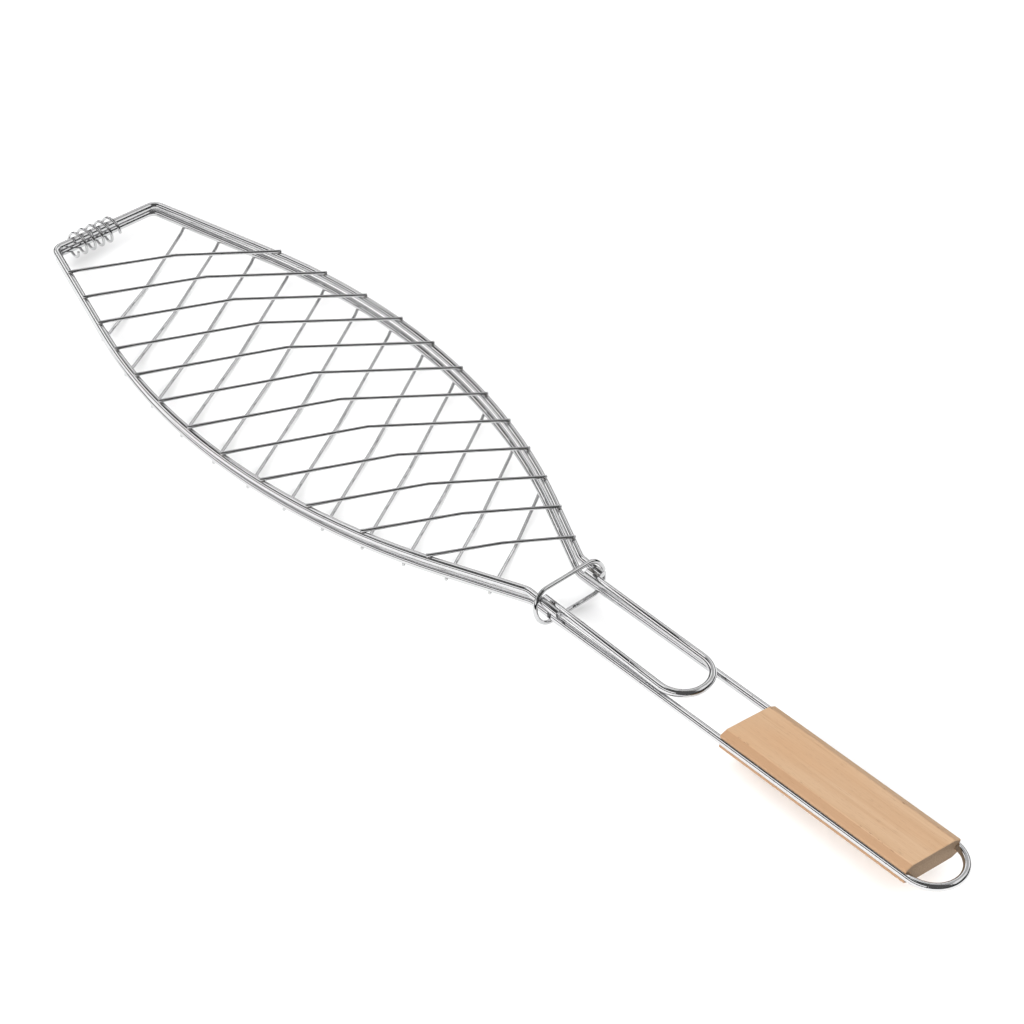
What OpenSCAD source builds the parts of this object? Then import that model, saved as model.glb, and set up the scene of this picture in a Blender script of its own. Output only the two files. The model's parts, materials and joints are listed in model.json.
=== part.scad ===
// Hinged wire grill basket in the outline of a fish, with a wooden handle.
// X runs from the hinge at the tip to the hanging loop, Y across, Z up.
// The origin is under the middle of the whole object, on the surface it lies on.

/* [Wire] */
// Diameter of the heavy wire of the frames, handle rods and loops
frame_d = 4; // [3.6:0.2:4.4]
// Diameter of the thin cross wires
cross_d = 1.8; // [1.6:0.1:2]
// Diameter of the lock ring's wire
ring_d = 2.3; // [2:0.1:2.5]
// Diameter of the hinge coil's wire
coil_d = 1.6; // [1.4:0.1:1.8]

/* [Basket] */
// Length from the hinge bar to the bend at the neck
basket_len = 352; // [346:1:358]
// Width of the tip, between wire centres
tip_w = 65; // [62:1:68]
// Angle at which each side leaves the tip
tip_angle = 17.2; // [16.5:0.1:18]
// Angle at which each side meets the neck
neck_angle = 26.4; // [26:0.1:27]
// Radius of the long curve of each side
side_r = 322; // [315:1:330]
// Bend radius of the tip's corners
corner_r = 6; // [5:0.5:8]
// Bend radius at the neck
neck_r = 8; // [6:0.5:12]

/* [Handle] */
// Width between the centres of the two handle rods
rod_gap = 31; // [30:0.5:32]
// Angle at which the handle rises from the basket
handle_rise = 3; // [2:0.5:4]
// Distance from the hinge bar to the wood
grip_start = 477; // [474:1:480]
// Length of the wood
grip_len = 110; // [106:1:112]
// Width of the wood; the rods stand out a little from its sides
grip_w = 33; // [32.6:0.2:34]
// Width of the wood's flat top and of its flat underside
grip_top_w = 25.4; // [24:0.2:28]
// Thickness of the wood, half of it above the rods' centres
grip_thick = 11.2; // [10.8:0.2:12.8]
// Height of the bevel along each long edge of the wood
grip_bevel = 1.8; // [1.4:0.1:2]
// Angle at which both ends of the wood are cut, towards +X on the +Y side
grip_slant = 6.3; // [0:0.1:8]

/* [Lid] */
// Height of the lid's wire above the base's wire at the hinge, between centres
lid_lift = 4.3; // [4.2:0.1:4.6]
// Angle at which the closed lid rises towards the neck
lid_rise = 0.45; // [0.3:0.05:0.6]
// How far the lid's sides stand outside the base's
lid_outset = 1.2; // [1:0.1:1.4]
// How far the lid wire's straight ends stand outside the handle rods
lid_end_out = 2.2; // [2:0.1:2.4]
// Length of the lid wire's straight end past the neck bend, on the -Y side
lid_end_near = 21; // [19:0.5:23]
// Length of the lid wire's straight end past the neck bend, on the +Y side
lid_end_far = 15; // [14:0.5:18]
// Distance from the hinge bar to the cut ends of the lid's loop
loop_start = 358; // [357:0.5:359]
// Distance from the hinge bar to the far end of the loop, at the wire's centre
loop_end = 449; // [446:1:452]
// Width of the loop at its cut ends, between wire centres
loop_gap = 28; // [27.8:0.1:28.4]
// Width of the loop near its round end, between wire centres
loop_end_gap = 29.4; // [29:0.1:29.6]
// Angle at which the loop rises from the lid's plane towards the handle
loop_tilt = 1.35; // [1.35:0.05:1.5]

/* [Cross wires] */
// Number of cross wires on each half
wire_count = 12; // [10:1:12]
// Where the first lid wire crosses the middle line
lid_wire_x0 = 46; // [44:0.5:47]
// Distance between lid wires along the middle line
lid_wire_pitch = 25.5; // [25.2:0.1:25.6]
// Where the first base wire crosses the middle line
base_wire_x0 = 40.2; // [39:0.5:42]
// Distance between base wires along the middle line
base_wire_pitch = 25.4; // [25.2:0.1:25.6]
// Distance a cross wire moves along X for each unit across
cross_lean = 0.54; // [0.5:0.01:0.56]
// How far a cross wire reaches past the centre of the frame wire it lies on
wire_poke = 1; // [0.5:0.1:2]
// Rise of the middle of the lid's longest wire over its ends
lid_dome = 7.2; // [5:0.2:8]
// Depth of the middle of every base wire below its ends
base_sag = 4.8; // [4:0.2:6]
// Depth of the short step at each end of a base wire
base_step = 1.2; // [1:0.1:1.6]

/* [Lock ring] */
// Distance from the hinge bar to the middle of the ring
ring_x = 361.3; // [361:0.1:363]
// Height of the ring's middle above the base's wire
ring_z = 3.9; // [3.8:0.1:4.4]
// Width of the ring, between wire centres
ring_w = 45.4; // [45:0.2:48]
// Height of the ring, between wire centres
ring_h = 17.6; // [17.6:0.1:18.2]
// Angle at which the ring leans towards the basket
ring_lean = 19.5; // [18:0.5:20]

/* [Hinge coil] */
// Number of turns
coil_turns = 5; // [5:1:6]
// Distance between turns
coil_pitch = 5.6; // [5:0.1:5.8]
// Offset of the coil's middle from the middle of the tip, towards -Y
coil_offset = 10; // [8:0.5:12]
// Height of the coil's middle above the base's wire
coil_z = 2.9; // [2.7:0.1:3.1]
// Distance from the hinge bar to the coil's middle
coil_x = 1.9; // [1.7:0.1:2.1]

/* [Hidden] */
$fn = 48;
wire_sides = 32;
joint_proud = 0.04; // how much wider than its wire a joining ball is

// Ways a wire can turn, as seen along it
LEFT = 0;
UP = 90;
RIGHT = 180;
STOP = [0, 0, 0, LEFT]; // step that only ends the one before it

steel = "silver";
wood = "burlywood";

frame_r = frame_d / 2;
cross_r = cross_d / 2;
end_r = rod_gap / 2;
groove_gap = 0.1; // room between a handle rod and its groove in the wood
weld_sink = 0.15; // depth of a welded wire in the wire it is welded to
coil_grip = 0.05; // depth of the base's bar in the coil
seat_half = 0.8; // flat part of a cross wire inside the frame's centre
step_run = 3; // run of the short step at each end of a base wire
rise_r = 40; // bend radius where the handle starts to rise
neck_lead = 3.5; // straight wire between the neck bend and the rise
loop_end_flat = 0.7; // straight wire on each side of the middle of the loop's round end
handle_end = 601.9; // distance along the handle to the far side of its end bend

coil_r = norm([coil_x, coil_z]) + frame_r - coil_grip + coil_d / 2;
coil_sides = 8;
coil_steps = 20; // steps in one turn

// Furthest reaches of the closed basket, which place the origin
rise_x = basket_len + neck_lead;
reach_back = coil_x - coil_r - coil_d / 2;
reach_front = rise_x + (handle_end - rise_x) * cos(handle_rise) + frame_r;
reach_down = -(frame_r + cross_d - weld_sink + base_sag);
middle_x = (reach_back + reach_front) / 2;

// Plan of one half's side, a distance "out" outside the base's own
function tip_y(out) = tip_w / 2 + out;
function neck_y(out) = rod_gap / 2 + out;
function tip_line(out) = tip_y(0) + out / cos(tip_angle);
function neck_line(out) = neck_y(0) + out / cos(neck_angle);
function neck_x(out, y) = basket_len + (neck_line(out) - y) / tan(neck_angle);
function crest_x(out) =
    (neck_line(out) - tip_line(out) + basket_len * tan(neck_angle))
    / (tan(tip_angle) + tan(neck_angle));
function crest_y(out) = tip_line(out) + crest_x(out) * tan(tip_angle);

// Centre of the long curve of a side, and where that curve starts and ends
crest_trim = side_r * tan((tip_angle + neck_angle) / 2);
curve_x0 = crest_x(0) - crest_trim * cos(tip_angle);
curve_x1 = crest_x(0) + crest_trim * cos(neck_angle);
curve_cx = curve_x0 + side_r * sin(tip_angle);
curve_cy = crest_y(0) - crest_trim * sin(tip_angle) - side_r * cos(tip_angle);

// Half the width of the basket at x, to the centre of the side wire
function half_width(x, out) =
    x < curve_x0 ? tip_line(out) + x * tan(tip_angle)
    : x > curve_x1 ? neck_line(out) + (basket_len - x) * tan(neck_angle)
    : curve_cy + sqrt(pow(side_r + out, 2) - pow(x - curve_cx, 2));

// Where a slanted line through [x, 0] crosses a side, found by repeated steps
function cross_y(x, lean, side, out, y, steps) =
    steps == 0 ? y
    : cross_y(x, lean, side, out, side * half_width(x + lean * y, out), steps - 1);

function unit(v) = v / norm(v);
function mirrored(points) = [for (i = [len(points) - 1:-1:0]) [points[i].x, -points[i].y]];

// The turn at b on the way from a to c, positive to the left
function turn_at(a, b, c) =
    let (u = unit(b - a), v = unit(c - b))
    atan2(u.x * v.y - u.y * v.x, u * v);

// Steps of a flat wire through the points, with the given radius at each inner
// one: [straight length, bend radius, bend angle, way the bend turns]
function flat_steps(points, bends) =
    let (
        last = len(points) - 1,
        turns = [for (i = [0:last])
            i == 0 || i == last ? 0 : turn_at(points[i - 1], points[i], points[i + 1])],
        trims = [for (i = [0:last]) bends[i] * tan(abs(turns[i]) / 2)]
    )
    [for (i = [0:last - 1]) [
        norm(points[i + 1] - points[i]) - trims[i] - trims[i + 1],
        bends[i + 1],
        abs(turns[i + 1]),
        turns[i + 1] > 0 ? LEFT : RIGHT
    ]];

// Bend of wire that starts at the origin along Z and turns towards X
module bend(r, angle, d) {
    facets = ceil(angle / 6 + r / 25);
    translate([r, 0, 0])
        rotate([90, 0, 180])
            rotate_extrude(angle = angle, $fn = 360 * facets / angle)
                translate([r, 0])
                    circle(d = d, $fn = wire_sides);
}

// Ball that joins two pieces of wire, a hair wider than they are
module joint(d) {
    sphere(d = d + joint_proud, $fn = wire_sides);
}

// Wire that starts at the origin along Z and follows the steps, each in the
// place and direction where the one before it ends
module run_wire(steps, d, i = 0) {
    length = steps[i][0];
    r = steps[i][1];
    angle = steps[i][2];
    way = steps[i][3];
    more = i < len(steps) - 1;
    if (length > 0)
        cylinder(d = d, h = length, $fn = wire_sides);
    translate([0, 0, length]) {
        if (more)
            joint(d);
        rotate([0, 0, way]) {
            if (r > 0)
                bend(r, angle, d);
            if (more)
                translate([r, 0, 0])
                    rotate([0, angle, 0])
                        translate([-r, 0, 0])
                            rotate([0, 0, -way]) {
                                if (r > 0)
                                    joint(d);
                                run_wire(steps, d, i + 1);
                            }
        }
    }
}

// Starts a wire at a point of the XY plane, heading from it towards another
module headed(from, to) {
    u = unit(to - from);
    multmatrix([
        [-u.y, 0, u.x, from.x],
        [u.x, 0, u.y, from.y],
        [0, 1, 0, 0]
    ])
        children();
}

module flat_wire(points, bends, d) {
    headed(points[0], points[1])
        run_wire(flat_steps(points, bends), d);
}

// Places the work in the object's own frame
module placed() {
    translate([-middle_x, 0, -reach_down])
        children();
}

// Places the lid's work, laid flat with its hinge bar at the origin
module lid_placed() {
    placed()
        translate([0, 0, lid_lift])
            rotate([0, -lid_rise, 0])
                children();
}

// Half of the base's one closed wire, from the tip to the hanging loop's end
module base_half() {
    plan = [
        [0, 0],
        [0, tip_y(0)],
        [crest_x(0), crest_y(0)],
        [basket_len, neck_y(0)],
        [rise_x, neck_y(0)]
    ];
    steps = flat_steps(plan, [0, corner_r, side_r, neck_r, 0]);
    rise_trim = rise_r * tan(handle_rise / 2);
    rod_len = handle_end - rise_x - rise_trim - end_r;
    headed(plan[0], plan[1])
        run_wire(concat([STOP], [for (i = [0:2]) steps[i]], [
            [steps[3][0] - rise_trim, rise_r, handle_rise, UP],
            [rod_len, end_r, 90, RIGHT],
            STOP
        ]), frame_d);
}

module base_frame() {
    color(steel)
        placed()
            for (side = [0, 1])
                mirror([0, side, 0])
                    base_half();
}

module lid_frame() {
    out = lid_outset;
    end_y = neck_y(lid_end_out);
    end_x = neck_x(out, end_y);
    side = [
        [0, tip_y(out)],
        [crest_x(out), crest_y(out)],
        [end_x, end_y]
    ];
    near_end = [end_x + lid_end_near, -end_y];
    far_end = [end_x + lid_end_far, end_y];
    color(steel)
        lid_placed()
            flat_wire(concat([near_end], mirrored(side), side, [far_end]),
                [0, neck_r, side_r + out, corner_r, corner_r, side_r + out, neck_r, 0], frame_d);
}

// The loop is welded to the lid wire's straight ends, inside and a little below
module lid_loop() {
    inset = neck_y(lid_end_out) - loop_gap / 2;
    drop = sqrt(pow(frame_d - weld_sink, 2) - pow(inset, 2));
    length = loop_end - loop_start;
    side = [[length, loop_end_gap / 2], [0, loop_gap / 2]];
    bend_r = loop_end_gap / 2 - loop_end_flat;
    color(steel)
        lid_placed()
            translate([loop_start, 0, -drop])
                rotate([0, -loop_tilt, 0])
                    flat_wire(concat(mirrored(side), side), [0, bend_r, bend_r, 0], frame_d);
}

// Oval ring round the handle rods and the lid's loop
module lock_ring() {
    r = ring_h / 2;
    straight = ring_w - ring_h;
    color(steel)
        placed()
            translate([ring_x, 0, ring_z])
                rotate([0, 90 - ring_lean, 0])
                    for (turn = [0, 180])
                        rotate([0, 0, turn])
                            translate([r, -straight / 2, 0])
                                headed([0, 0], [0, 1])
                                    run_wire([[straight, r, 180, LEFT], STOP], ring_d);
}

// Helix of round wire along Y, closed by a flat cap at each end
module hinge_coil() {
    steps = coil_turns * coil_steps;
    lead = atan2(coil_pitch, 2 * PI * coil_r);
    rings = [for (i = [0:steps])
        let (a = 360 * i / coil_steps, y = coil_pitch * (i / coil_steps - coil_turns / 2))
        [for (j = [0:coil_sides - 1])
            let (
                b = 360 * j / coil_sides,
                r = coil_r + cos(b) * coil_d / 2,
                s = sin(b) * coil_d / 2
            )
            [
                r * cos(a) + s * sin(lead) * sin(a),
                y + s * cos(lead),
                r * sin(a) - s * sin(lead) * cos(a)
            ]]];
    color(steel)
        placed()
            translate([coil_x, -coil_offset, coil_z])
                mirror([0, 1, 0])
                    polyhedron(
                        points = [for (ring = rings) each ring],
                        faces = tube_faces(steps, coil_sides)
                    );
}

function tube_faces(steps, sides) = concat(
    [[for (j = [0:sides - 1]) j]],
    [for (i = [0:steps - 1], j = [0:sides - 1])
        let (k = (j + 1) % sides)
        [i * sides + j, (i + 1) * sides + j, (i + 1) * sides + k, i * sides + k]],
    [[for (j = [sides - 1:-1:0]) steps * sides + j]]
);

// The grip's section across the rods, with a groove for a rod on each side
module grip_section() {
    y_top = grip_top_w / 2;
    y_side = grip_w / 2;
    z_top = grip_thick / 2;
    z_side = z_top - grip_bevel;
    groove = frame_r + groove_gap;
    difference() {
        polygon([
            [y_top, z_top], [y_side, z_side], [y_side, -z_side], [y_top, -z_top],
            [-y_top, -z_top], [-y_side, -z_side], [-y_side, z_side], [-y_top, z_top]
        ]);
        for (side = [-1, 1]) {
            translate([side * end_r, 0])
                circle(r = groove);
            translate([side * (end_r + frame_r) - frame_r, -groove])
                square([frame_d, 2 * groove]);
        }
    }
}

// The grip seen from above, with its two slanted ends
module grip_plan() {
    shift = grip_w * tan(grip_slant);
    polygon([
        [-shift, -grip_w],
        [grip_len - shift, -grip_w],
        [grip_len + shift, grip_w],
        [shift, grip_w]
    ]);
}

module handle_grip() {
    shift = grip_w * tan(grip_slant);
    color(wood)
        placed()
            translate([rise_x, 0, 0])
                rotate([0, -handle_rise, 0])
                    translate([grip_start - rise_x, 0, 0])
                        intersection() {
                            translate([-shift, 0, 0])
                                rotate([90, 0, 90])
                                    linear_extrude(grip_len + 2 * shift)
                                        grip_section();
                            translate([0, 0, -grip_thick])
                                linear_extrude(2 * grip_thick)
                                    grip_plan();
                        }
}

// A cross wire over a half lying in the XY plane. It leans in plan, steps up
// by "step" inside the frame and rises by "height" to a bend in the middle
module cross_wire(x, lean, out, step, height) {
    y0 = cross_y(x, lean, -1, out, -tip_w / 2, 10);
    y1 = cross_y(x, lean, 1, out, tip_w / 2, 10);
    seat = frame_r + cross_r - weld_sink;
    shoulder = seat_half + step_run;
    path = concat(
        [[y0 - wire_poke, seat], [y0 + seat_half, seat]],
        step > 0 ? [[y0 + shoulder, seat + step]] : [],
        [[(y0 + y1) / 2, seat + height]],
        step > 0 ? [[y1 - shoulder, seat + step]] : [],
        [[y1 - seat_half, seat], [y1 + wire_poke, seat]]
    );
    stretch = norm([lean, 1]);
    translate([x, 0, 0])
        rotate([0, 0, 90 - atan(lean)])
            rotate([90, 0, 0])
                flat_wire([for (p = path) [p.x * stretch, p.y]], [for (p = path) 0], cross_d);
}

module lid_wire(k) {
    x = lid_wire_x0 + k * lid_wire_pitch;
    share = half_width(x, 0) / (curve_cy + side_r);
    color(steel)
        lid_placed()
            cross_wire(x, cross_lean, lid_outset, 0, lid_dome * pow(share, 1.5));
}

module base_wire(k) {
    color(steel)
        placed()
            mirror([0, 0, 1])
                cross_wire(base_wire_x0 + k * base_wire_pitch, -cross_lean, 0, base_step, base_sag);
}

wire_ids = [for (k = [1:wire_count]) k];

base_frame();
handle_grip();
hinge_coil();
lid_frame();
lid_loop();
lock_ring();
for (k = wire_ids) lid_wire(k - 1);
for (k = wire_ids) base_wire(k - 1);
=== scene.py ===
"""Hinged wire grill basket with a wooden grip: the visual model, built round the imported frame."""

import json
import math
import random

import bmesh
import bpy
from mathutils import Matrix, Vector


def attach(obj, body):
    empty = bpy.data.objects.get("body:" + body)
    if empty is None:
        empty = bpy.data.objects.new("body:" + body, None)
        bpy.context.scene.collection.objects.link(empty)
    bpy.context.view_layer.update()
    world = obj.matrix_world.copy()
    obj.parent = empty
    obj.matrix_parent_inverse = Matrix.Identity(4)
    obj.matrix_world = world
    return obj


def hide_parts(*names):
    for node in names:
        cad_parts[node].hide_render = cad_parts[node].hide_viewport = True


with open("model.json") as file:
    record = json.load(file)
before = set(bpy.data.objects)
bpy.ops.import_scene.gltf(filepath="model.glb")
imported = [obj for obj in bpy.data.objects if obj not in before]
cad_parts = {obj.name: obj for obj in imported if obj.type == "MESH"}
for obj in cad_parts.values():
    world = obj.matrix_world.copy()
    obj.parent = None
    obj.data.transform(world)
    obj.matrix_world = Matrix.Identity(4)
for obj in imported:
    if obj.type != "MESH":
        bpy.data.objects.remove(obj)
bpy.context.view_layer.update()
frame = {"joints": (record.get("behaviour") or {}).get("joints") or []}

MM = 0.001

# ------------------------------ sizes as in part.scad, in millimetres and degrees
FRAME_R = 2.0
CROSS_R = 0.9
RING_R = 1.15
COIL_WIRE_R = 0.8
BASKET_LEN = 352
TIP_W = 65
TIP_ANGLE = 17.2
NECK_ANGLE = 26.4
SIDE_R = 322
CORNER_R = 6
NECK_R = 8
ROD_GAP = 31
HANDLE_RISE = 3
HANDLE_END = 601.9
NECK_LEAD = 3.5
RISE_R = 40
GRIP_START = 477
GRIP_LEN = 110
GRIP_W = 33
GRIP_TOP_W = 25.4
GRIP_THICK = 11.2
GRIP_BEVEL = 1.8
GRIP_SLANT = 6.3
GROOVE_GAP = 0.1
LID_LIFT = 4.3
LID_RISE = 0.45
LID_OUTSET = 1.2
LID_END_OUT = 2.2
LID_END_NEAR = 21
LID_END_FAR = 15
LOOP_START = 358
LOOP_END = 449
LOOP_GAP = 28
LOOP_END_GAP = 29.4
LOOP_END_FLAT = 0.7
LOOP_TILT = 1.35
WIRE_COUNT = 12
LID_WIRE_X0 = 46
LID_WIRE_PITCH = 25.5
BASE_WIRE_X0 = 40.2
BASE_WIRE_PITCH = 25.4
CROSS_LEAN = 0.54
WIRE_POKE = 1
LID_DOME = 7.2
DOME_POWER = 1.5
BASE_SAG = 4.8
BASE_STEP = 1.2
WELD_SINK = 0.15
SEAT_HALF = 0.8
STEP_RUN = 3
RING_X = 361.3
RING_Z = 3.9
RING_W = 45.4
RING_H = 17.6
RING_LEAN = 19.5
COIL_TURNS = 5
COIL_PITCH = 5.6
COIL_OFFSET = 10
COIL_X = 1.9
COIL_Z = 2.9
COIL_GRIP = 0.05
COIL_R = math.hypot(COIL_X, COIL_Z) + FRAME_R - COIL_GRIP + COIL_WIRE_R
RISE_X = BASKET_LEN + NECK_LEAD

# Details that only the visual model has
RING_LAP = (1.3, 7.0)  # stretch of the ring's lower bar where its two ends lie side by side
LAP_TURN = 56  # lean of the line from one of those ends to the other, from upright
LAP_ASIDE = 0.97  # how far each cut end lies from the bar's own line, in wire radii
LAP_TAPER = 0.8  # share of that where each end's lap begins
LAP_BEND = 3
LAP_CORNER = 0.98  # radius of the ring's bend next to the lap, as a share of the others
SEAT_BEND = 2.6
STEP_BEND = 3.2
MIDDLE_BEND = 4
LOOP_BEAD = (1.9, 0.9, 0.8)
LOOP_BEADS_AT = (1.8, 5.4)
LOOP_BEAD_LIFT = 0.7
CROSS_BEAD = (1.25, 1.1, 0.45)
BEAD_SINK = 0.05
COIL_STEPS = 28
GROOVE_STEPS = 10
WOOD_ROUND = 0.45
WOOD_SHARP = 20  # edges of the wood that turn by more than this are rounded
WOOD_FLAT = 120 * MM * MM  # faces of the wood larger than this are shaded flat
LOOP_SEED = 40
BASE_SEED = 100

# The lid's hinge places everything: the base's own tip bar is LID_LIFT below it
hinge = next(j for j in frame["joints"] if j["name"] == "lid_hinge")
ORIGIN = Vector(hinge["pos_m"]) - Vector((0, 0, LID_LIFT * MM))


def sind(a):
    return math.sin(math.radians(a))


def cosd(a):
    return math.cos(math.radians(a))


def tand(a):
    return math.tan(math.radians(a))


def rot(axis, degrees):
    return Matrix.Rotation(math.radians(degrees), 4, axis)


def move(x, y, z):
    return Matrix.Translation((x, y, z))


# Frames the pieces are drawn in, in millimetres from the base's tip bar
IN_BASE = Matrix.Translation(ORIGIN) @ Matrix.Scale(MM, 4)
IN_LID = IN_BASE @ move(0, 0, LID_LIFT) @ rot("Y", -LID_RISE)
IN_HANDLE = IN_BASE @ move(RISE_X, 0, 0) @ rot("Y", -HANDLE_RISE) @ move(-RISE_X, 0, 0)

# ------------------------------ camera, floor and lights
# The camera looks towards VIEW_AZ, turned from +Y to -X, and down by VIEW_EL.
# It is VIEW_DIST from VIEW_AIM, and both are in millimetres; VIEW_AIM is
# measured from the base's tip bar
VIEW_AZ = 42.34
VIEW_EL = 42.19
VIEW_ROLL = 6.35
VIEW_DIST = 1377.3
VIEW_AIM = (300.4, 20.0, 0)
LENS = 98.47
FLOOR_HALF = 6.0
FLOOR_TONE = 0.9

# Soft lamps: name, place and aim in metres, size and power
LAMPS = [
    ("soft_top", (0.45, -0.55, 1.7), (0.05, 0, 0), (4.2, 4.2), 74),
    ("soft_front", (0.35, -1.5, 0.8), (0.1, 0, 0), (2.6, 1.0), 35),
]


def add_camera():
    ahead = Vector((-sind(VIEW_AZ) * cosd(VIEW_EL), cosd(VIEW_AZ) * cosd(VIEW_EL), -sind(VIEW_EL)))
    right = ahead.cross(Vector((0, 0, 1))).normalized()
    up = right.cross(ahead)
    turned = right * cosd(VIEW_ROLL) + up * sind(VIEW_ROLL)
    up = turned.cross(ahead)
    data = bpy.data.cameras.new("camera")
    data.lens = LENS
    data.sensor_width = 36
    data.clip_end = 20
    cam = bpy.data.objects.new("camera", data)
    place = Matrix((turned, up, -ahead)).transposed().to_4x4()
    place.translation = IN_BASE @ Vector(VIEW_AIM) - ahead * VIEW_DIST * MM
    cam.matrix_world = place
    bpy.context.scene.collection.objects.link(cam)
    bpy.context.scene.camera = cam


def add_lamp(name, at, aim, size, power):
    """A large lamp that lights the work but isn't mirrored in the wires."""
    data = bpy.data.lights.new(name, "AREA")
    data.shape = "RECTANGLE"
    data.size, data.size_y = size
    data.energy = power
    lamp = bpy.data.objects.new(name, data)
    way = Vector(aim) - Vector(at)
    lamp.matrix_world = move(*at) @ way.to_track_quat("-Z", "Y").to_matrix().to_4x4()
    lamp.visible_glossy = False
    bpy.context.scene.collection.objects.link(lamp)


def new_material(name):
    mat = bpy.data.materials.new(name)
    mat.use_nodes = True
    return mat, Graph(mat.node_tree, "Principled BSDF")


class Graph:
    """Short ways to build the nodes of a material or of the world."""

    def __init__(self, tree, shader, place="Object"):
        self.tree = tree
        self.shader = tree.nodes[shader]
        self.place = self.node("ShaderNodeTexCoord").outputs[place]

    def node(self, kind, **settings):
        node = self.tree.nodes.new(kind)
        for key, value in settings.items():
            setattr(node, key, value)
        return node

    def link(self, out, into):
        self.tree.links.new(out, into)

    def mapped(self, scale, turn=(0, 0, 0), source=None):
        node = self.node("ShaderNodeMapping")
        self.link(source or self.place, node.inputs["Vector"])
        node.inputs["Scale"].default_value = scale
        node.inputs["Rotation"].default_value = turn
        return node.outputs["Vector"]

    def noise(self, scale, detail=2.0, rough=0.5, vector=None, warp=0.0):
        node = self.node("ShaderNodeTexNoise")
        self.link(vector or self.place, node.inputs["Vector"])
        node.inputs["Scale"].default_value = scale
        node.inputs["Detail"].default_value = detail
        node.inputs["Roughness"].default_value = rough
        node.inputs["Distortion"].default_value = warp
        return node.outputs["Fac"]

    def math(self, kind, a, b=0.0, clamp=False):
        node = self.node("ShaderNodeMath", operation=kind, use_clamp=clamp)
        for socket, value in zip(node.inputs, (a, b)):
            if isinstance(value, (int, float)):
                socket.default_value = value
            else:
                self.link(value, socket)
        return node.outputs[0]

    def spread(self, fac, low, high, to_low=0.0, to_high=1.0, kind="LINEAR"):
        node = self.node("ShaderNodeMapRange", interpolation_type=kind)
        self.link(fac, node.inputs["Value"])
        node.inputs["From Min"].default_value = low
        node.inputs["From Max"].default_value = high
        node.inputs["To Min"].default_value = to_low
        node.inputs["To Max"].default_value = to_high
        return node.outputs["Result"]

    def mix(self, fac, a, b):
        """Mixes two colours: inputs 6 and 7 and output 2 are the node's colour sockets."""
        node = self.node("ShaderNodeMix", data_type="RGBA")
        for socket, value in zip((node.inputs[0], node.inputs[6], node.inputs[7]), (fac, a, b)):
            if isinstance(value, (int, float)):
                socket.default_value = value
            elif isinstance(value, tuple):
                socket.default_value = (*value, 1)
            else:
                self.link(value, socket)
        return node.outputs[2]

    def bump(self, height, distance, strength=1.0, normal=None):
        node = self.node("ShaderNodeBump")
        self.link(height, node.inputs["Height"])
        node.inputs["Distance"].default_value = distance
        node.inputs["Strength"].default_value = strength
        if normal:
            self.link(normal, node.inputs["Normal"])
        return node.outputs["Normal"]

    def set(self, **values):
        for key, value in values.items():
            socket = self.shader.inputs[key.replace("_", " ")]
            if isinstance(value, (int, float)):
                socket.default_value = value
            elif isinstance(value, tuple):
                socket.default_value = (*value, 1)
            else:
                self.link(value, socket)


def add_stage():
    mesh = bpy.data.meshes.new("floor")
    half = FLOOR_HALF
    corners = [(-half, -half, 0), (half, -half, 0), (half, half, 0), (-half, half, 0)]
    mesh.from_pydata(corners, [], [(0, 1, 2, 3)])
    floor = bpy.data.objects.new("floor", mesh)
    bpy.context.scene.collection.objects.link(floor)
    mat, g = new_material("floor_white")
    g.set(Base_Color=(FLOOR_TONE, FLOOR_TONE, FLOOR_TONE), Roughness=0.6)
    g.shader.inputs["Specular IOR Level"].default_value = 0.2
    mesh.materials.append(mat)

    add_world()
    for lamp in LAMPS:
        add_lamp(*lamp)
    view = bpy.context.scene.view_settings
    view.view_transform = "Standard"
    view.look = "None"


# Soft boxes and dark screens round the studio. Each is (azimuth, half width,
# elevation, half height, soft edge, brightness), in degrees; azimuth 0 is
# towards +Y and 90 towards -X. A later one covers an earlier one
WALLS = 0.62
SCREENS = [
    (0, 180, 90, 17, 6, 0.06),
    (-95, 58, 45, 60, 12, 0.12),
    (-32, 30, 48, 9, 5, 1.3),
    (-170, 22, 70, 32, 8, 0.12),
    (150, 60, 28, 9, 4, 1.6),
    (128, 48, 49, 9, 4, 0.02),
    (78, 34, 63, 5, 4, 1.6),
    (33, 40, 25, 8, 4, 1.5),
    (0, 180, 8, 10, 3, 0.01),
]


def add_world():
    world = bpy.data.worlds.new("studio")
    bpy.context.scene.world = world
    world.use_nodes = True
    g = Graph(world.node_tree, "Background", "Generated")
    way = g.node("ShaderNodeSeparateXYZ")
    g.link(g.place, way.inputs[0])
    elevation = g.math("DEGREES", g.math("ARCSINE", way.outputs["Z"]))
    west = g.math("MULTIPLY", way.outputs["X"], -1)
    azimuth = g.math("DEGREES", g.math("ARCTAN2", west, way.outputs["Y"]))
    level = WALLS
    for at, half, height, half_height, soft, brightness in SCREENS:
        across = g.math("PINGPONG", g.math("SUBTRACT", azimuth, at), 180)
        beside = g.spread(across, half, half + soft, 1, 0, "SMOOTHSTEP")
        off = g.math("ABSOLUTE", g.math("SUBTRACT", elevation, height))
        above = g.spread(off, half_height, half_height + soft, 1, 0, "SMOOTHSTEP")
        share = g.math("MULTIPLY", beside, above)
        change = g.math("MULTIPLY", share, g.math("SUBTRACT", brightness, level))
        level = g.math("ADD", level, change)
    g.link(level, g.shader.inputs["Color"])
    g.shader.inputs["Strength"].default_value = 1.0


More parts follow.
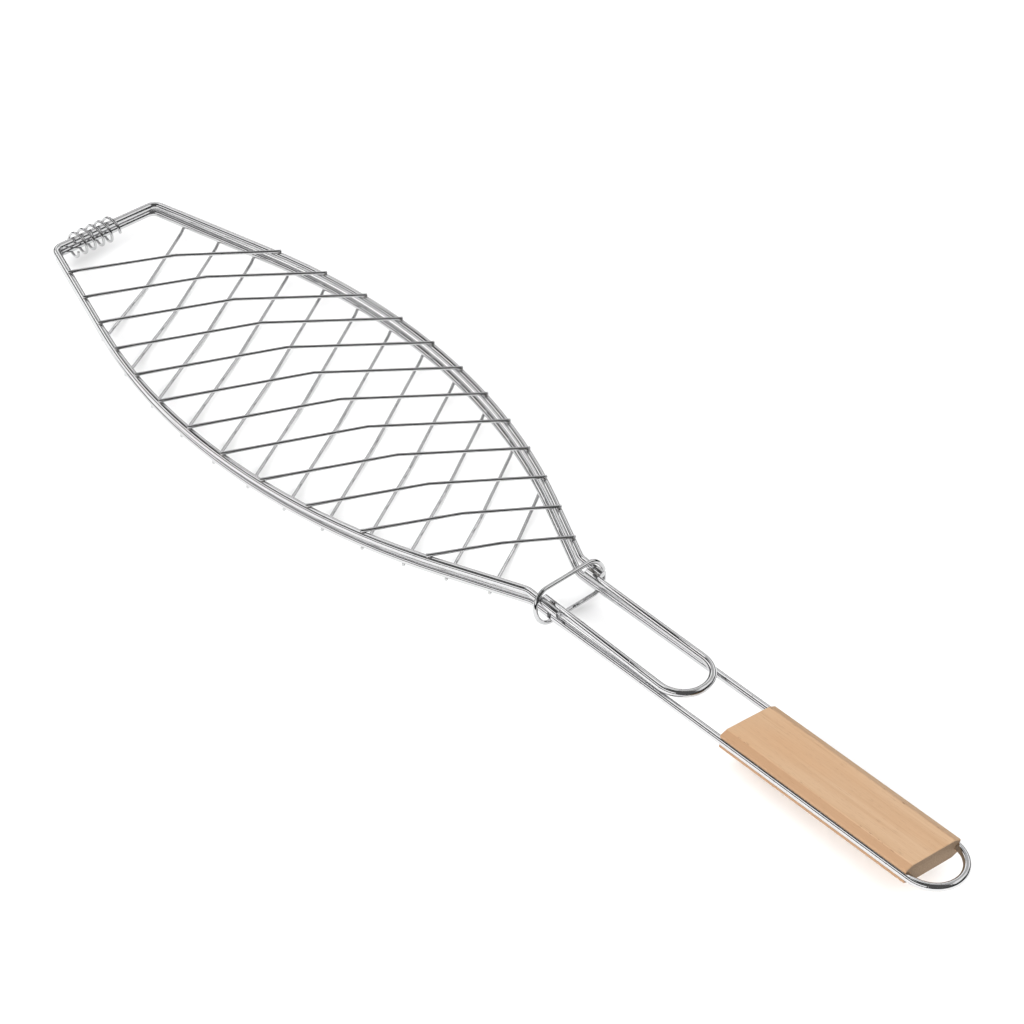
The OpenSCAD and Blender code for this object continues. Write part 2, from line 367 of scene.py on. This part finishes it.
# ------------------------------ wire
CUT_EDGE = 0.14  # width of the softened edge of a cut end, as a share of the wire's radius
CUT_SOFT = 0.35  # place of the middle of that edge
BEAD_WOBBLE = 0.05
SAME_POINT = 1e-3
STRAIGHT = 1e-4  # a turn smaller than this, in radians, needs no bend
LEAST_STEPS = 3
STEP_RADIUS = 25  # a bend gets one more step for each such length of its radius


def bent(points, bends, step=6.0):
    """The points of a wire path with a round bend at each inner point."""
    pts = [Vector(p) for p in points]
    out = [pts[0]]
    for a, b, c, r in zip(pts, pts[1:], pts[2:], bends[1:-1]):
        u, v = (b - a).normalized(), (c - b).normalized()
        turn = u.angle(v)
        if r <= 0 or turn < STRAIGHT:
            out.append(b)
            continue
        start = b - u * r * math.tan(turn / 2)
        axis = u.cross(v).normalized()
        inward = axis.cross(u)
        centre = start + inward * r
        steps = max(LEAST_STEPS, math.ceil(math.degrees(turn) / step + r / STEP_RADIUS))
        for k in range(steps + 1):
            out.append(centre + Matrix.Rotation(turn * k / steps, 3, axis) @ (start - centre))
    out.append(pts[-1])
    return [p for k, p in enumerate(out) if k == 0 or (p - out[k - 1]).length > SAME_POINT]


def tube_into(bm, path, r, closed=False, sides=20, material=0):
    """Sweeps a circle along the path, with a softened cut at each open end."""
    stations = [(p, r) for p in path]
    if not closed:
        first, last = path[0], path[-1]
        ahead = (path[1] - first).normalized()
        behind = (path[-2] - last).normalized()
        edge = CUT_EDGE * r
        soft = edge * CUT_SOFT
        start = [(first, r - edge), (first + ahead * soft, r - soft), (first + ahead * edge, r)]
        end = [(last + behind * edge, r), (last + behind * soft, r - soft), (last, r - edge)]
        stations = start + stations[1:-1] + end
    count = len(stations)
    pts = [s[0] for s in stations]
    tangents = []
    for i in range(count):
        before = pts[i - 1] if closed or i > 0 else pts[i]
        after = pts[(i + 1) % count] if closed or i < count - 1 else pts[i]
        both = (pts[i] - before).normalized() + (after - pts[i]).normalized()
        tangents.append(both.normalized())
    side = tangents[0].orthogonal().normalized()
    sides_at = [side]
    for i in range(1, count):
        turn = tangents[i - 1].rotation_difference(tangents[i])
        side = turn @ side
        side = (side - tangents[i] * side.dot(tangents[i])).normalized()
        sides_at.append(side)
    twist = 0.0
    if closed:
        final = tangents[-1].rotation_difference(tangents[0]) @ side
        twist = math.atan2(final.cross(sides_at[0]).dot(tangents[0]), final.dot(sides_at[0]))
    rings = []
    for i, (p, radius) in enumerate(stations):
        t, s = tangents[i], Matrix.Rotation(twist * i / count, 3, tangents[i]) @ sides_at[i]
        w = t.cross(s)
        rings.append([
            bm.verts.new(p + (s * math.cos(a) + w * math.sin(a)) * radius)
            for a in (2 * math.pi * k / sides for k in range(sides))
        ])
    pairs = list(zip(rings, rings[1:])) + ([(rings[-1], rings[0])] if closed else [])
    for lower, upper in pairs:
        for k in range(sides):
            n = (k + 1) % sides
            face = bm.faces.new((lower[k], lower[n], upper[n], upper[k]))
            face.material_index = material
    if not closed:
        bm.faces.new(rings[0][::-1]).material_index = material
        bm.faces.new(rings[-1]).material_index = material


def bead_into(bm, place, radii, seed, material=0):
    """A small uneven lump of weld: place is its frame, radii its half sizes."""
    rng = random.Random(seed)
    found = bmesh.ops.create_uvsphere(bm, u_segments=14, v_segments=8, radius=1.0)
    for v in found["verts"]:
        wobble = 1 + rng.uniform(-BEAD_WOBBLE, BEAD_WOBBLE)
        v.co = place @ Vector([c * r * wobble for c, r in zip(v.co, radii)])
    for face in {f for v in found["verts"] for f in v.link_faces}:
        face.material_index = material


def finish_piece(name, bm, place, body, nodes, materials, sharp=50):
    """Makes the object, in the frame given by place, and gives it to its body."""
    bm.transform(place)
    bmesh.ops.recalc_face_normals(bm, faces=bm.faces)
    mesh = bpy.data.meshes.new(name)
    bm.to_mesh(mesh)
    bm.free()
    mesh.shade_smooth()
    mesh.set_sharp_from_angle(angle=math.radians(sharp))
    for mat in materials:
        mesh.materials.append(mat)
    obj = bpy.data.objects.new(name, mesh)
    bpy.context.scene.collection.objects.link(obj)
    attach(obj, body)
    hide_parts(*nodes)
    return obj


# ------------------------------ the plan of a half, as in part.scad
def tip_line(out):
    return TIP_W / 2 + out / cosd(TIP_ANGLE)


def neck_line(out):
    return ROD_GAP / 2 + out / cosd(NECK_ANGLE)


def crest(out):
    """Where the straight lines of a side would meet."""
    rise = neck_line(out) - tip_line(out) + BASKET_LEN * tand(NECK_ANGLE)
    x = rise / (tand(TIP_ANGLE) + tand(NECK_ANGLE))
    return x, tip_line(out) + x * tand(TIP_ANGLE)


def lid_neck():
    y = ROD_GAP / 2 + LID_END_OUT
    return BASKET_LEN + (neck_line(LID_OUTSET) - y) / tand(NECK_ANGLE), y


CREST_TRIM = SIDE_R * tand((TIP_ANGLE + NECK_ANGLE) / 2)
CURVE_X0 = crest(0)[0] - CREST_TRIM * cosd(TIP_ANGLE)
CURVE_X1 = crest(0)[0] + CREST_TRIM * cosd(NECK_ANGLE)
CURVE_CX = CURVE_X0 + SIDE_R * sind(TIP_ANGLE)
CURVE_CY = crest(0)[1] - CREST_TRIM * sind(TIP_ANGLE) - SIDE_R * cosd(TIP_ANGLE)


def half_width(x, out):
    if x < CURVE_X0:
        return tip_line(out) + x * tand(TIP_ANGLE)
    if x > CURVE_X1:
        return neck_line(out) + (BASKET_LEN - x) * tand(NECK_ANGLE)
    return CURVE_CY + math.sqrt((SIDE_R + out) ** 2 - (x - CURVE_CX) ** 2)


CROSS_ROUNDS = 12


def cross_y(x, lean, side, out):
    """Where a slanted line through (x, 0) meets a side, found by repeated steps."""
    y = side * TIP_W / 2
    for _ in range(CROSS_ROUNDS):
        y = side * half_width(x + lean * y, out)
    return y


# ------------------------------ materials
# Noise scales are per metre, and bump distances are in metres
CHROME_PIT = (0.25, 0.24, 0.23)
WELD_PALE = (0.55, 0.54, 0.53)
WELD_DEEP = (0.33, 0.31, 0.29)
WOOD_PALE = (0.44, 0.297, 0.184)
WOOD_DEEP = (0.396, 0.249, 0.143)
WOOD_WARM = (0.417, 0.242, 0.125)
# painted shade: the colour of the -Y bevel, darker than the top
BEVEL_PAINTED_SHADE = (0.254, 0.14, 0.071)
BEVEL_START = GRIP_TOP_W / 2 * MM
WOOD_BROWN = (0.319, 0.188, 0.098)
WOOD_PORE = (0.152, 0.084, 0.046)
# End grain colours: darker than the face grain, as end grain is, and darker again as painted shade
# on the grip's end faces
END_PALE = (0.252, 0.18, 0.119)
END_DEEP = (0.184, 0.126, 0.08)
END_PORE = (0.102, 0.066, 0.043)


def chrome(name, tone=0.6, rough=0.03, speckle=0.5):
    """Bright plating on drawn wire: fine pits, smudges and a slight unevenness."""
    mat, g = new_material(name)
    smudge = g.noise(55, 3, 0.6)
    fine = g.noise(1400, 2, 0.5)
    pits = g.spread(g.noise(950, 1, 0.4, warp=0.3), 0.66, 0.74)
    drawn = g.noise(260, 3, 0.6)
    worn = g.spread(smudge, 0.35, 0.75, rough, rough + 0.06)
    roughness = g.math("ADD", worn, g.math("MULTIPLY", pits, 0.25 * speckle))
    bright = (tone, tone, tone * 1.01)
    dull = (tone * 0.86, tone * 0.85, tone * 0.84)
    shade = g.mix(g.math("MULTIPLY", pits, 0.55 * speckle), bright, CHROME_PIT)
    shade = g.mix(g.spread(smudge, 0.45, 0.8, 0, 0.25), shade, dull)
    g.set(Base_Color=shade, Roughness=roughness, Metallic=1.0)
    normal = g.bump(drawn, 0.00006, 0.35)
    normal = g.bump(fine, 0.00001, 0.5 * speckle, normal)
    g.set(Normal=g.bump(g.math("MULTIPLY", pits, -1.0), 0.00004, 0.6 * speckle, normal))
    return mat


def weld_metal():
    mat, g = new_material("weld_metal")
    blotch = g.noise(700, 3, 0.6)
    shade = g.mix(g.spread(blotch, 0.35, 0.65), WELD_PALE, WELD_DEEP)
    g.set(Base_Color=shade, Metallic=1.0, Roughness=g.spread(blotch, 0.3, 0.7, 0.22, 0.42))
    g.set(Normal=g.bump(g.noise(1100, 2), 0.00008, 0.6))
    return mat


def light_wood():
    """Bare light wood: straight grain along the handle, fine pores, wear along the bevels, and
    painted shade that darkens the -Y bevel.
    """
    mat, g = new_material("grip_wood")
    level = g.mapped((1, 1, 1), turn=(0, math.radians(HANDLE_RISE), 0))

    def grain(scale, detail, rough, warp=0.0):
        """Noise with its own scale along, across and through the wood."""
        return g.noise(1.0, detail, rough, vector=g.mapped(scale, source=level), warp=warp)

    bands = grain((3.2, 120, 75), 4, 0.55, warp=0.2)
    streaks = grain((16, 620, 500), 3, 0.6, warp=0.1)
    fibres = grain((34, 1900, 1900), 5, 0.65)
    pores = g.spread(grain((210, 2900, 2900), 2, 0.5), 0.62, 0.72)
    cloud = grain((16, 55, 55), 3, 0.5)
    colour = g.mix(g.spread(bands, 0.32, 0.68), WOOD_DEEP, WOOD_PALE)
    colour = g.mix(g.spread(cloud, 0.45, 0.75, 0.0, 0.45), colour, WOOD_WARM)
    colour = g.mix(g.spread(streaks, 0.56, 0.7, 0.0, 0.32), colour, WOOD_BROWN)
    colour = g.mix(g.spread(fibres, 0.4, 0.75, 0.0, 0.3), colour, WOOD_BROWN)
    colour = g.mix(g.math("MULTIPLY", pores, 0.35), colour, WOOD_PORE)

    # Painted shade darkens the bevel on the -Y side, and a worn line with dents runs where each
    # bevel meets the top
    side = g.node("ShaderNodeSeparateXYZ")
    g.link(level, side.inputs[0])
    off = g.math("ABSOLUTE", g.math("SUBTRACT", g.math("ABSOLUTE", side.outputs["Y"]), BEVEL_START))
    line = g.spread(off, 0.0002, 0.0007, 1, 0, "SMOOTHSTEP")
    painted_bevel_shade = g.spread(side.outputs["Y"], -BEVEL_START, -BEVEL_START - 0.0004, 0, 0.65)
    colour = g.mix(painted_bevel_shade, colour, BEVEL_PAINTED_SHADE)
    worn = g.spread(grain((60, 260, 260), 3, 0.6), 0.42, 0.6)
    specks = g.spread(grain((240, 700, 700), 2, 0.6), 0.61, 0.68)
    edge = g.math("MULTIPLY", line, worn)
    colour = g.mix(g.math("MULTIPLY", edge, 0.4), colour, WOOD_BROWN)
    dents = g.math("MULTIPLY", line, specks)
    colour = g.mix(g.math("MULTIPLY", dents, 0.75), colour, WOOD_PORE)

    g.set(Base_Color=colour, Roughness=g.spread(fibres, 0.3, 0.7, 0.48, 0.64))
    g.shader.inputs["Specular IOR Level"].default_value = 0.35
    normal = g.bump(streaks, 0.00012, 0.35)
    relief = g.math("ADD", g.math("MULTIPLY", g.math("ADD", pores, dents), -1.0), fibres)
    g.set(Normal=g.bump(relief, 0.00007, 0.45, normal))
    return mat


def end_grain():
    mat, g = new_material("grip_end_grain")
    rings = g.node("ShaderNodeTexWave", wave_type="BANDS", bands_direction="Z")
    g.link(g.mapped((30, 110, 520), turn=(math.radians(12), 0, 0)), rings.inputs["Vector"])
    rings.inputs["Scale"].default_value = 1.0
    rings.inputs["Distortion"].default_value = 2.2
    rings.inputs["Detail"].default_value = 2.0
    dots = g.spread(g.noise(2200, 2, 0.6), 0.5, 0.68)
    colour = g.mix(g.spread(rings.outputs["Fac"], 0, 1, 0, 0.6), END_PALE, END_DEEP)
    colour = g.mix(g.math("MULTIPLY", dots, 0.5), colour, END_PORE)
    g.set(Base_Color=colour, Roughness=0.78, Normal=g.bump(dots, 0.0001, -0.5))
    g.shader.inputs["Specular IOR Level"].default_value = 0.25
    return mat


# ------------------------------ pieces
def base_frame_piece(steel):
    corner = (crest(0)[0], crest(0)[1], 0)
    rod = ROD_GAP / 2
    end = rot("Y", -HANDLE_RISE) @ Vector((HANDLE_END - RISE_X, 0, 0)) + Vector((RISE_X, 0, 0))
    side = [(0, 0, 0), (0, TIP_W / 2, 0), corner, (BASKET_LEN, rod, 0), (RISE_X, rod, 0)]
    side += [(end.x, rod, end.z), (end.x, 0, end.z)]
    half = bent(side, [0, CORNER_R, SIDE_R, NECK_R, RISE_R, rod, 0], step=5)
    other = [Vector((p.x, -p.y, p.z)) for p in half[1:-1]]
    bm = bmesh.new()
    tube_into(bm, half + other[::-1], FRAME_R, closed=True)
    return finish_piece("base_frame_wire", bm, IN_BASE, "base", ["base_frame"],
                        [steel])


def lid_frame_piece(steel):
    out = LID_OUTSET
    neck = lid_neck()
    side = [(0, TIP_W / 2 + out, 0), (*crest(out), 0), (*neck, 0)]
    points = [(neck[0] + LID_END_NEAR, -neck[1], 0)] + [(x, -y, z) for x, y, z in side[::-1]]
    points += side + [(neck[0] + LID_END_FAR, neck[1], 0)]
    bends = [0, NECK_R, SIDE_R + out, CORNER_R, CORNER_R, SIDE_R + out, NECK_R, 0]
    bm = bmesh.new()
    tube_into(bm, bent(points, bends, step=5), FRAME_R)
    return finish_piece("lid_frame_wire", bm, IN_LID, "lid", ["lid_frame"], [steel])


def lid_loop_piece(steel, weld):
    inset = ROD_GAP / 2 + LID_END_OUT - LOOP_GAP / 2
    drop = math.sqrt((2 * FRAME_R - WELD_SINK) ** 2 - inset**2)
    length = LOOP_END - LOOP_START
    y, wide = LOOP_GAP / 2, LOOP_END_GAP / 2
    bend_r = wide - LOOP_END_FLAT
    points = [(0, -y, 0), (length, -wide, 0), (length, wide, 0), (0, y, 0)]
    bm = bmesh.new()
    tube_into(bm, bent(points, [0, bend_r, bend_r, 0], step=5), FRAME_R)
    for side in (-1, 1):
        for k, at in enumerate(LOOP_BEADS_AT):
            place = move(at, side * (y + inset / 2), drop / 2 + LOOP_BEAD_LIFT)
            bead_into(bm, place, LOOP_BEAD, LOOP_SEED + k + side, 1)
    place = IN_LID @ move(LOOP_START, 0, -drop) @ rot("Y", -LOOP_TILT)
    return finish_piece("lid_loop_wire", bm, place, "lid", ["lid_loop"],
                        [steel, weld])


def cross_wire_piece(name, node, body, place, x, lean, out, step, height, steel, weld, seed):
    """A cross wire over a half: above it for a step of 0, and under it otherwise."""
    y0, y1 = cross_y(x, lean, -1, out), cross_y(x, lean, 1, out)
    seat = FRAME_R + CROSS_R - WELD_SINK
    shoulder = SEAT_HALF + STEP_RUN
    flip = -1 if step else 1
    path = [(y0 - WIRE_POKE, seat), (y0 + SEAT_HALF, seat)]
    bends = [0, SEAT_BEND]
    if step:
        path.append((y0 + shoulder, seat + step))
        bends.append(STEP_BEND)
    path.append(((y0 + y1) / 2, seat + height))
    bends.append(MIDDLE_BEND)
    if step:
        path.append((y1 - shoulder, seat + step))
        bends.append(STEP_BEND)
    path += [(y1 - SEAT_HALF, seat), (y1 + WIRE_POKE, seat)]
    bends += [SEAT_BEND, 0]
    points = [(x + lean * y, y, z * flip) for y, z in path]
    bm = bmesh.new()
    tube_into(bm, bent(points, bends, step=4), CROSS_R, sides=14)
    heading = math.degrees(math.atan2(1, lean))
    for k, y in enumerate((y0, y1)):
        spot = move(x + lean * y, y, (seat - CROSS_R + BEAD_SINK) * flip) @ rot("Z", heading)
        bead_into(bm, spot, CROSS_BEAD, seed * 2 + k, 1)
    return finish_piece(name, bm, place, body, [node], [steel, weld])


def lattice(steel, weld):
    widest = CURVE_CY + SIDE_R
    for k in range(WIRE_COUNT):
        x = LID_WIRE_X0 + k * LID_WIRE_PITCH
        height = LID_DOME * (half_width(x, 0) / widest) ** DOME_POWER
        cross_wire_piece(f"lid_lattice_{k + 1}", f"lid_wire_{k + 1}", "lid", IN_LID, x,
                         CROSS_LEAN, LID_OUTSET, 0, height, steel, weld, k)
        x = BASE_WIRE_X0 + k * BASE_WIRE_PITCH
        cross_wire_piece(f"base_lattice_{k + 1}", f"base_wire_{k + 1}", "base", IN_BASE, x,
                         -CROSS_LEAN, 0, BASE_STEP, BASE_SAG, steel, weld, BASE_SEED + k)


def lock_ring_piece(steel):
    """Its two ends lie side by side for a short way in the lower bar."""
    r, half = RING_H / 2, RING_W / 2
    aside = Vector((sind(LAP_TURN), 0, cosd(LAP_TURN))) * RING_R * LAP_ASIDE
    near, away = Vector((0, RING_LAP[0], -r)), Vector((0, RING_LAP[1], -r))
    points = [near + aside, away + aside * LAP_TAPER]
    points += [(0, half, -r), (0, half, r), (0, -half, r), (0, -half, -r)]
    points += [near - aside * LAP_TAPER, away - aside]
    path = bent(points, [0, LAP_BEND, r * LAP_CORNER, r, r, r, LAP_BEND, 0], step=6)
    bm = bmesh.new()
    tube_into(bm, path, RING_R, sides=16)
    place = IN_BASE @ move(RING_X, 0, RING_Z) @ rot("Y", -RING_LEAN)
    return finish_piece("lock_ring_wire", bm, place, "ring", ["lock_ring"], [steel])


def coil_piece(steel):
    path = []
    for i in range(COIL_TURNS * COIL_STEPS + 1):
        a = 2 * math.pi * i / COIL_STEPS
        y = COIL_PITCH * (COIL_TURNS / 2 - i / COIL_STEPS)
        path.append(Vector((COIL_R * math.cos(a), y, COIL_R * math.sin(a))))
    bm = bmesh.new()
    tube_into(bm, path, COIL_WIRE_R, sides=12)
    place = IN_BASE @ move(COIL_X, -COIL_OFFSET, COIL_Z)
    return finish_piece("hinge_coil_wire", bm, place, "base", ["hinge_coil"], [steel])


def grip_outline():
    """Right half of the grip's section, from the middle of the top down, as (y, z)."""
    top, side, rod, half = GRIP_TOP_W / 2, GRIP_W / 2, ROD_GAP / 2, GRIP_THICK / 2
    groove = FRAME_R + GROOVE_GAP
    right = [(0, half), (top, half), (side, half - GRIP_BEVEL), (side, groove), (rod, groove)]
    for k in range(1, GROOVE_STEPS):
        a = 90 + 180 * k / GROOVE_STEPS
        right.append((rod + groove * cosd(a), groove * sind(a)))
    right += [(rod, -groove), (side, -groove), (side, GRIP_BEVEL - half)]
    right += [(top, -half), (0, -half)]
    return right


def grip_piece(wood, ends):
    right = grip_outline()
    outline = right + [(-y, z) for y, z in right[-2:0:-1]]
    bm = bmesh.new()
    rings = []
    for x in (GRIP_START, GRIP_START + GRIP_LEN):
        rings.append([bm.verts.new((x + y * tand(GRIP_SLANT), y, z)) for y, z in outline])
    count = len(outline)
    for k in range(count):
        n = (k + 1) % count
        bm.faces.new((rings[0][k], rings[0][n], rings[1][n], rings[1][k]))
    for ring in (rings[0][::-1], rings[1]):
        bm.faces.new(ring).material_index = 1
    bm.normal_update()
    edges = [e for e in bm.edges if e.calc_face_angle(0) > math.radians(WOOD_SHARP)]
    bmesh.ops.bevel(bm, geom=edges, offset=WOOD_ROUND, segments=3, profile=0.5,
                    affect="EDGES", clamp_overlap=True)
    grip = finish_piece("handle_grip_block", bm, IN_HANDLE, "base", ["handle_grip"],
                        [wood, ends], 60)
    for poly in grip.data.polygons:
        poly.use_smooth = poly.area < WOOD_FLAT


# ------------------------------ build
add_camera()
add_stage()
heavy = chrome("chrome_frame")
thin = chrome("chrome_thin", tone=0.56, rough=0.04, speckle=0.6)
bead = weld_metal()
base_frame_piece(heavy)
lid_frame_piece(heavy)
lid_loop_piece(heavy, bead)
lattice(thin, bead)
lock_ring_piece(thin)
coil_piece(thin)
grip_piece(light_wood(), end_grain())
